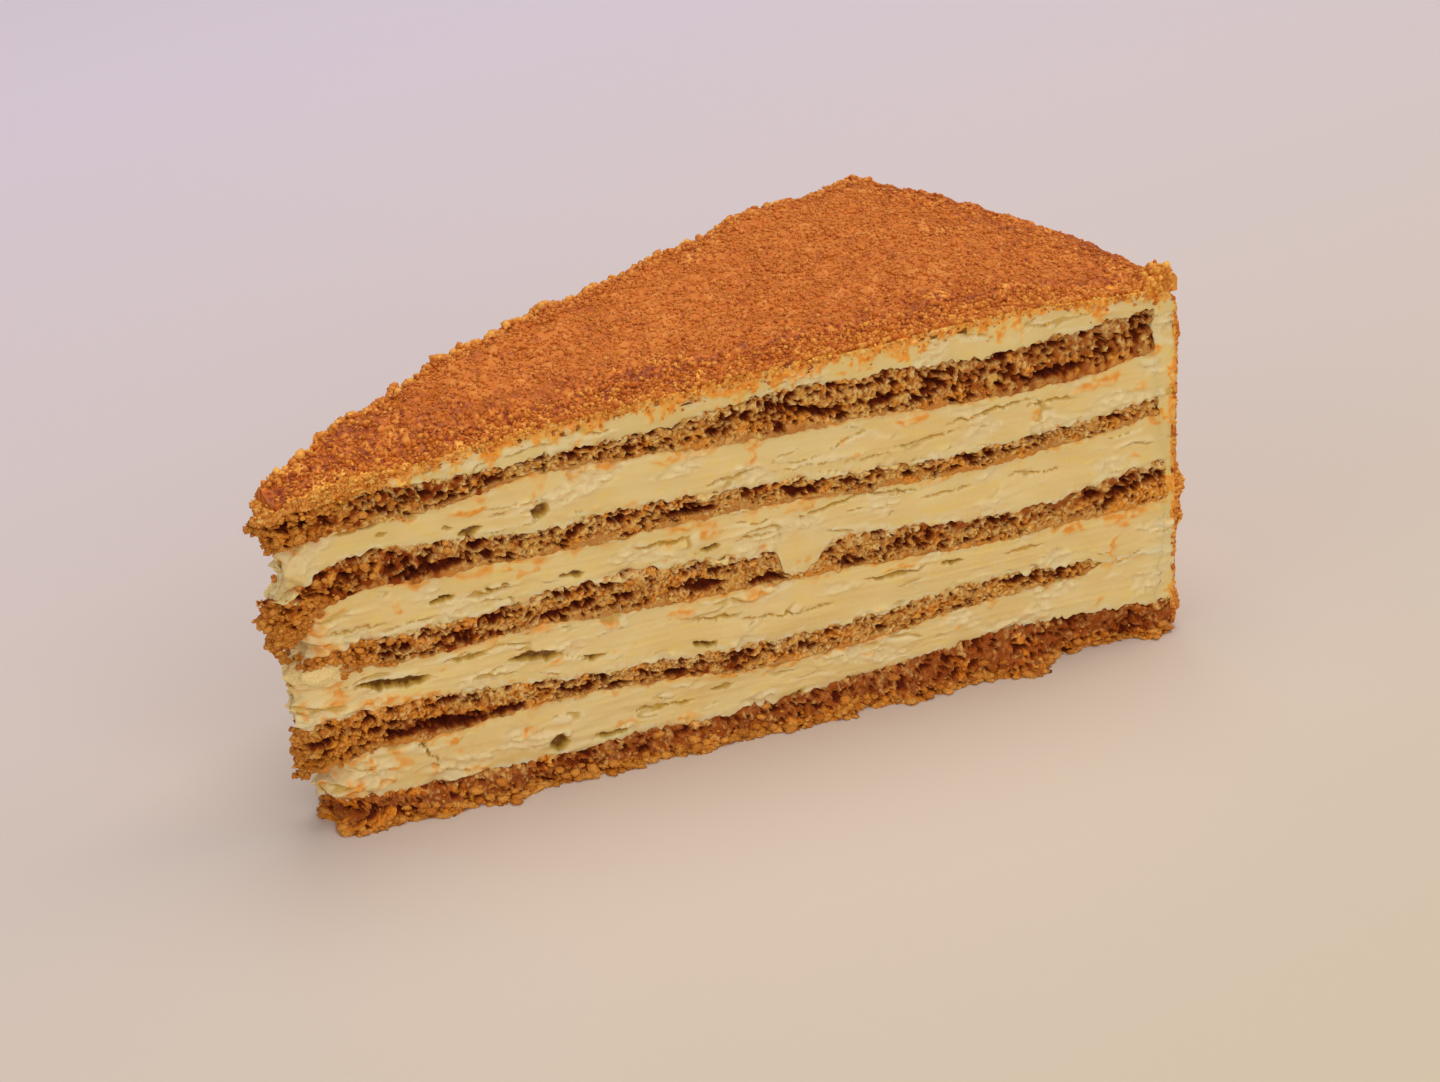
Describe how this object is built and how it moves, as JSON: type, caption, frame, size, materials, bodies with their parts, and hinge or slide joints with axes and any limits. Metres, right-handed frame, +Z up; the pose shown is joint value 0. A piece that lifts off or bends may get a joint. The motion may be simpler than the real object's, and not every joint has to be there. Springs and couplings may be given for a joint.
{
  "type": "honey cake slice",
  "caption": "Wedge slice of layered honey cake: thin brown sponges with pale cream between them, and a cream coat under fine crumbs over the top and rim.",
  "frame": {"origin": "middle of the slice's bounding box, at the height of the flat underside that it rests on", "axes": "+X along the middle of the slice from the tip to the rim, +Z up, and the cut face at -Y is the one that the picture shows"},
  "size_m": [0.125, 0.0645, 0.0529],
  "materials": {
    "sponge": "matte porous honey sponge, olive brown with a darker moist band along the underside",
    "cream": "matte pale butter-yellow cream with fine tears and smears of crumb",
    "crumb": "dry orange-brown cake crumbs about a millimetre across"
  },
  "bodies": {
    "root": {"sponge_1": "sponge", "sponge_2": "sponge", "sponge_3": "sponge", "sponge_4": "sponge", "sponge_5": "sponge", "cream_1": "cream", "cream_2": "cream", "cream_3": "cream", "cream_4": "cream", "cream_coat": "cream", "crumb_coat": "crumb"}
  },
  "joints": []
}
